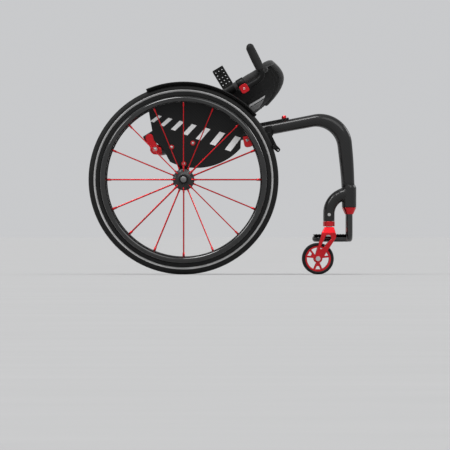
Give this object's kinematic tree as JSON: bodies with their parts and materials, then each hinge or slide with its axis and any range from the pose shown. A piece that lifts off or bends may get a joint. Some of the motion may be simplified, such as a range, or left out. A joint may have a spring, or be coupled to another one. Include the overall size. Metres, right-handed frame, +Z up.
{
  "type": "manual wheelchair",
  "caption": "Rigid-frame manual wheelchair with carbon side frames, quick-release spoked wheels, swivel casters, a footrest and a fold-down backrest.",
  "frame": {"origin": "on the floor, on the centre plane, midway along the overall length", "axes": "+X is forward, +Y is the sitter's left, +Z is up"},
  "size_m": [0.832, 0.5668, 0.7186],
  "materials": {
    "tyre_rubber": "matt rubber",
    "carbon": "clear-coated black carbon fibre",
    "red_anodised": "red anodised",
    "black_metal": "black anodised satin",
    "steel": "turned",
    "grip_rubber": "moulded matt",
    "sling_cloth": "woven nylon"
  },
  "bodies": {
    "frame": {"axles": "steel", "head_bearings": "steel", "head_collars": "red_anodised", "head_screws": "steel", "side_frame_left": "carbon", "side_frame_right": "carbon", "front_node_left": "carbon", "front_node_right": "carbon", "camber_tube": "black_metal", "axle_plates": "black_metal", "axle_receivers": "steel", "frame_bolts": "red_anodised", "cross_tube": "black_metal", "rail_clamps": "red_anodised", "side_guard_left": "carbon", "side_guard_right": "carbon", "hinge_brackets": "red_anodised", "hinge_pins": "steel", "seat_sling": "sling_cloth", "seat_caps": "red_anodised", "footrest_cones": "red_anodised", "footrest_tube": "black_metal", "footplate": "black_metal", "brake_clamps": "black_metal"},
    "backrest": {"canes": "black_metal", "hinge_lugs": "red_anodised", "handle_tubes": "black_metal", "grips": "grip_rubber", "handle_clamps": "red_anodised", "carrier_plates": "black_metal", "crossbar": "black_metal", "back_sling": "sling_cloth"},
    "rear_wheel_left": {"tyre_left": "tyre_rubber", "rim_left": "carbon", "spokes_left": "red_anodised", "hub_left": "black_metal", "hub_bearings_left": "steel", "handrim_left": "black_metal"},
    "axle_button_left": {"axle_button_left": "black_metal"},
    "caster_fork_left": {"fork_left": "red_anodised", "fork_stem_left": "steel", "caster_axle_left": "steel"},
    "caster_wheel_left": {"caster_tyre_left": "tyre_rubber", "caster_rim_left": "red_anodised", "caster_bearings_left": "steel"},
    "brake_left": {"brake_lever_left": "black_metal"},
    "rear_wheel_right": {"tyre_right": "tyre_rubber", "rim_right": "carbon", "spokes_right": "red_anodised", "hub_right": "black_metal", "hub_bearings_right": "steel", "handrim_right": "black_metal"},
    "axle_button_right": {"axle_button_right": "black_metal"},
    "caster_fork_right": {"fork_right": "red_anodised", "fork_stem_right": "steel", "caster_axle_right": "steel"},
    "caster_wheel_right": {"caster_tyre_right": "tyre_rubber", "caster_rim_right": "red_anodised", "caster_bearings_right": "steel"},
    "brake_right": {"brake_lever_right": "black_metal"}
  },
  "joints": [
    {"name": "backrest_fold", "type": "hinge", "parent": "frame", "child": "backrest", "pos_m": [-0.21, 0, 0.389], "axis": [0, -1, 0], "range_deg": [0, 65]},
    {"name": "rear_wheel_spin_left", "type": "hinge", "parent": "frame", "child": "rear_wheel_left", "pos_m": [-0.121, 0.245, 0.295], "axis": [0, 1, 0], "continuous": true},
    {"name": "axle_button_press_left", "type": "slide", "parent": "frame", "child": "axle_button_left", "axis": [0, -1, 0], "range_m": [0, 0.003], "stiffness_N_per_m": 600},
    {"name": "caster_swivel_left", "type": "hinge", "parent": "frame", "child": "caster_fork_left", "pos_m": [0.3316, 0.183, 0.16], "axis": [0, 0, 1], "continuous": true},
    {"name": "caster_wheel_spin_left", "type": "hinge", "parent": "caster_fork_left", "child": "caster_wheel_left", "pos_m": [0.297, 0.183, 0.049], "axis": [0, 1, 0], "continuous": true},
    {"name": "brake_turn_left", "type": "hinge", "parent": "frame", "child": "brake_left", "pos_m": [0.144, 0.21, 0.434], "axis": [0, -1, 0], "range_deg": [0, 55]},
    {"name": "rear_wheel_spin_right", "type": "hinge", "parent": "frame", "child": "rear_wheel_right", "pos_m": [-0.121, -0.245, 0.295], "axis": [0, 1, 0], "continuous": true},
    {"name": "axle_button_press_right", "type": "slide", "parent": "frame", "child": "axle_button_right", "axis": [0, 1, 0], "range_m": [0, 0.003], "stiffness_N_per_m": 600},
    {"name": "caster_swivel_right", "type": "hinge", "parent": "frame", "child": "caster_fork_right", "pos_m": [0.3316, -0.183, 0.16], "axis": [0, 0, 1], "continuous": true},
    {"name": "caster_wheel_spin_right", "type": "hinge", "parent": "caster_fork_right", "child": "caster_wheel_right", "pos_m": [0.297, -0.183, 0.049], "axis": [0, 1, 0], "continuous": true},
    {"name": "brake_turn_right", "type": "hinge", "parent": "frame", "child": "brake_right", "pos_m": [0.144, -0.21, 0.434], "axis": [0, -1, 0], "range_deg": [0, 55]}
  ]
}
